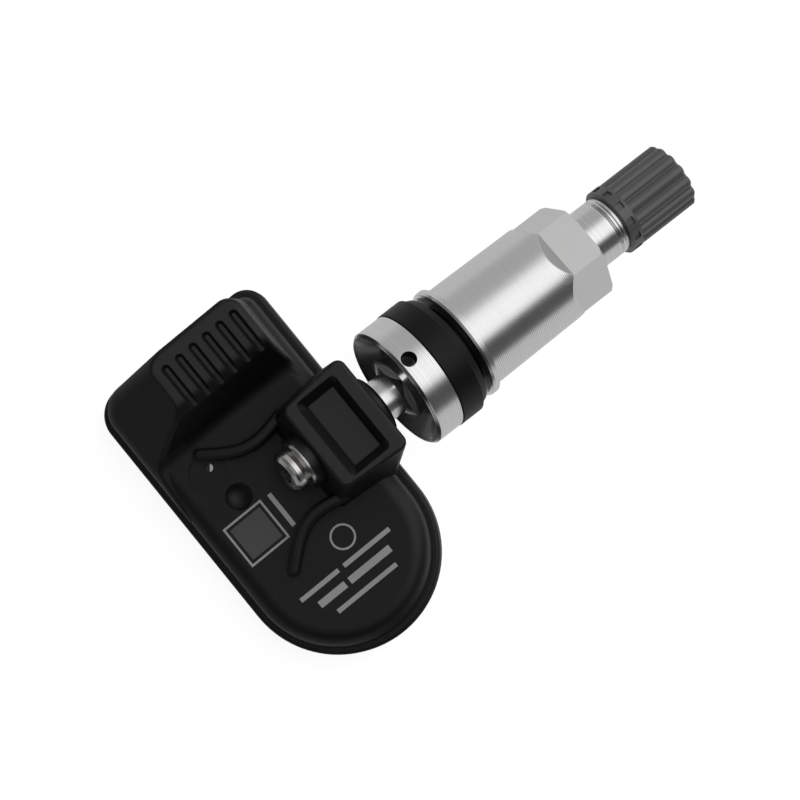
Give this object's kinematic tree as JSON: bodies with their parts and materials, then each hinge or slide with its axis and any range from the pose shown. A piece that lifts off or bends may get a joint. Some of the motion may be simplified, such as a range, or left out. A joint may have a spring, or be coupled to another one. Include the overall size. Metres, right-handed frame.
{
  "type": "tyre pressure sensor",
  "caption": "Tyre pressure sensor: black housing with grip bump and yoke, screwed to a clamp-in aluminium valve with grommet, sleeve nut and cap.",
  "frame": {"origin": "On the valve axis, in the plane where the grommet's flange seals against the inside of the rim", "axes": "+X along the valve towards its cap; +Z on the side of the label face, square to the valve; the housing's label face leans back from it by 18.5 degrees"},
  "size_m": [0.0749, 0.0461, 0.0253],
  "materials": {
    "housing_plastic": "fine textured matte black",
    "cover_plastic": "fine textured matte black",
    "board": "green solder mask",
    "battery_can": "bright nickel-plated",
    "tab": "satin nickel",
    "chip": "black moulding",
    "silicone": "soft red-brown silicone",
    "filter": "white porous film",
    "ferrite": "dull dark grey",
    "copper": "enamelled copper",
    "crystal_can": "bright",
    "antenna": "satin brass strip",
    "ceramic": "tan ceramic",
    "screw_steel": "bright stainless",
    "stem_aluminium": "turned, bright",
    "core_brass": "nickel-free brass",
    "core_ring": "red sealing ring",
    "core_rubber": "black",
    "spring_steel": "bright wire",
    "grommet_rubber": "smooth black",
    "washer_steel": "satin",
    "nut_aluminium": "turned, milled flats",
    "cap_plastic": "dark grey moulded",
    "cap_rubber": "black"
  },
  "bodies": {
    "sensor": {"housing": "housing_plastic", "base_cover": "cover_plastic", "circuit_board": "board", "battery": "battery_can", "battery_tab_lower": "tab", "battery_tab_upper": "tab", "sensor_chip": "chip", "port_gasket": "silicone", "port_filter": "filter", "coil_core": "ferrite", "coil_winding": "copper", "crystal": "crystal_can", "radio_antenna": "antenna", "chip_parts": "ceramic", "mounting_screw": "screw_steel", "valve_stem": "stem_aluminium", "core_barrel": "core_brass", "core_seal": "core_ring", "core_spring": "spring_steel", "rubber_grommet": "grommet_rubber"},
    "washer": {"slip_washer": "washer_steel"},
    "nut": {"sleeve_nut": "nut_aluminium"},
    "seal": {"cap_seal": "cap_rubber"},
    "cap": {"valve_cap": "cap_plastic"},
    "pin": {"core_pin": "core_brass", "core_foot_seal": "core_rubber"}
  },
  "joints": [
    {"name": "nut_travel", "type": "slide", "parent": "sensor", "child": "washer", "axis": [1, 0, 0], "range_m": [0, 0.0045]},
    {"name": "nut_turn", "type": "hinge", "parent": "washer", "child": "nut", "pos_m": [0.011, 0, 0], "axis": [1, 0, 0], "range_deg": [0, 2041]},
    {"name": "cap_travel", "type": "slide", "parent": "sensor", "child": "seal", "axis": [1, 0, 0], "range_m": [0, 0.0087]},
    {"name": "cap_turn", "type": "hinge", "parent": "seal", "child": "cap", "pos_m": [0.0327, 0, 0], "axis": [1, 0, 0], "range_deg": [0, 3946]},
    {"name": "pin_press", "type": "slide", "parent": "sensor", "child": "pin", "axis": [-1, 0, 0], "range_m": [0, 0.0012], "stiffness_N_per_m": 1500, "springref_m": -0.0012, "deforming": ["core_spring"]}
  ],
  "couplings": [
    {"joint": "nut_turn", "follows": "nut_travel", "rad_per_m": 7915.8},
    {"joint": "cap_turn", "follows": "cap_travel", "rad_per_m": 7915.8}
  ]
}
